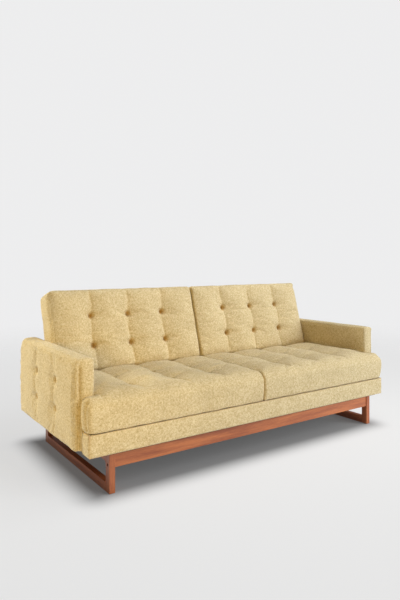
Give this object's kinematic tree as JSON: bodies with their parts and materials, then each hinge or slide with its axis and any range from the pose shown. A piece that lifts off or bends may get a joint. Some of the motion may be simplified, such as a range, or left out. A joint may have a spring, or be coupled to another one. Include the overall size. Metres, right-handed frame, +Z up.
{
  "type": "split-back sleeper sofa",
  "caption": "Low tufted sofa bed on wooden sled legs, with padded box arms and two backs that fold flat on their own.",
  "frame": {"origin": "on the floor, under the centre of the sofa", "axes": "+X along the sofa to the viewer's right seen from the front, +Y from the front to the rear, +Z up"},
  "size_m": [2.1, 0.938, 0.886],
  "materials": {
    "stained_wood": "satin",
    "tweed": "matte",
    "button_tweed": "matte",
    "foam": "matte",
    "webbing": "matte",
    "lining": "matte",
    "hardboard": "matte",
    "plywood": "matte",
    "glide_plastic": "matte",
    "dowel_wood": "matte",
    "zinc_steel": "satin",
    "hinge_steel": "satin",
    "spring_steel": "satin",
    "frame_timber": "matte"
  },
  "bodies": {
    "root": {"arm_boards": "hardboard", "arm_bolts": "zinc_steel", "arm_buttons": "button_tweed", "dust_cover": "lining", "floor_glides": "glide_plastic", "frame_dowels": "dowel_wood", "front_stretcher": "stained_wood", "hinge_pins": "hinge_steel", "hinge_seat_plates": "hinge_steel", "left_arm_cover": "tweed", "left_arm_frame": "frame_timber", "left_arm_outer_panel": "tweed", "left_arm_padding": "foam", "left_front_post": "stained_wood", "left_rear_post": "stained_wood", "left_runner": "stained_wood", "left_seat_cover": "tweed", "left_seat_foam": "foam", "left_top_rail": "stained_wood", "platform_blocks": "frame_timber", "platform_centre_rail": "frame_timber", "platform_cover": "tweed", "platform_front_rail": "frame_timber", "platform_hinge_rail": "frame_timber", "platform_rear_rail": "frame_timber", "platform_side_rails": "frame_timber", "rear_deck": "plywood", "rear_stretcher": "stained_wood", "right_arm_cover": "tweed", "right_arm_frame": "frame_timber", "right_arm_outer_panel": "tweed", "right_arm_padding": "foam", "right_front_post": "stained_wood", "right_rear_post": "stained_wood", "right_runner": "stained_wood", "right_seat_cover": "tweed", "right_seat_foam": "foam", "right_top_rail": "stained_wood", "seat_buttons": "button_tweed", "seat_springs": "spring_steel", "spring_clips": "spring_steel", "stretcher_barrel_nuts": "zinc_steel", "stretcher_bolts": "zinc_steel", "wood_screws": "zinc_steel"},
    "left_back": {"left_back_buttons": "button_tweed", "left_back_cover": "tweed", "left_back_foam": "foam", "left_back_frame": "frame_timber", "left_back_hinge_plates": "hinge_steel", "left_back_hinge_screws": "zinc_steel", "left_back_webbing": "webbing"},
    "right_back": {"right_back_buttons": "button_tweed", "right_back_cover": "tweed", "right_back_foam": "foam", "right_back_frame": "frame_timber", "right_back_hinge_plates": "hinge_steel", "right_back_hinge_screws": "zinc_steel", "right_back_webbing": "webbing"},
    "left_pawls": {"left_hinge_pawls": "hinge_steel"},
    "right_pawls": {"right_hinge_pawls": "hinge_steel"}
  },
  "joints": [
    {"name": "left_back_recline", "type": "hinge", "parent": "root", "child": "left_back", "pos_m": [-0.478, 0.152, 0.423], "axis": [-1, 0, 0], "range_deg": [-5, 73.8]},
    {"name": "right_back_recline", "type": "hinge", "parent": "root", "child": "right_back", "pos_m": [0.478, 0.152, 0.423], "axis": [-1, 0, 0], "range_deg": [-5, 73.8]},
    {"name": "left_pawl_swing", "type": "hinge", "parent": "root", "child": "left_pawls", "pos_m": [-0.478, 0.11972, 0.41508], "axis": [1, 0, 0], "range_deg": [0, 9]},
    {"name": "right_pawl_swing", "type": "hinge", "parent": "root", "child": "right_pawls", "pos_m": [0.478, 0.11972, 0.41508], "axis": [1, 0, 0], "range_deg": [0, 9]}
  ]
}
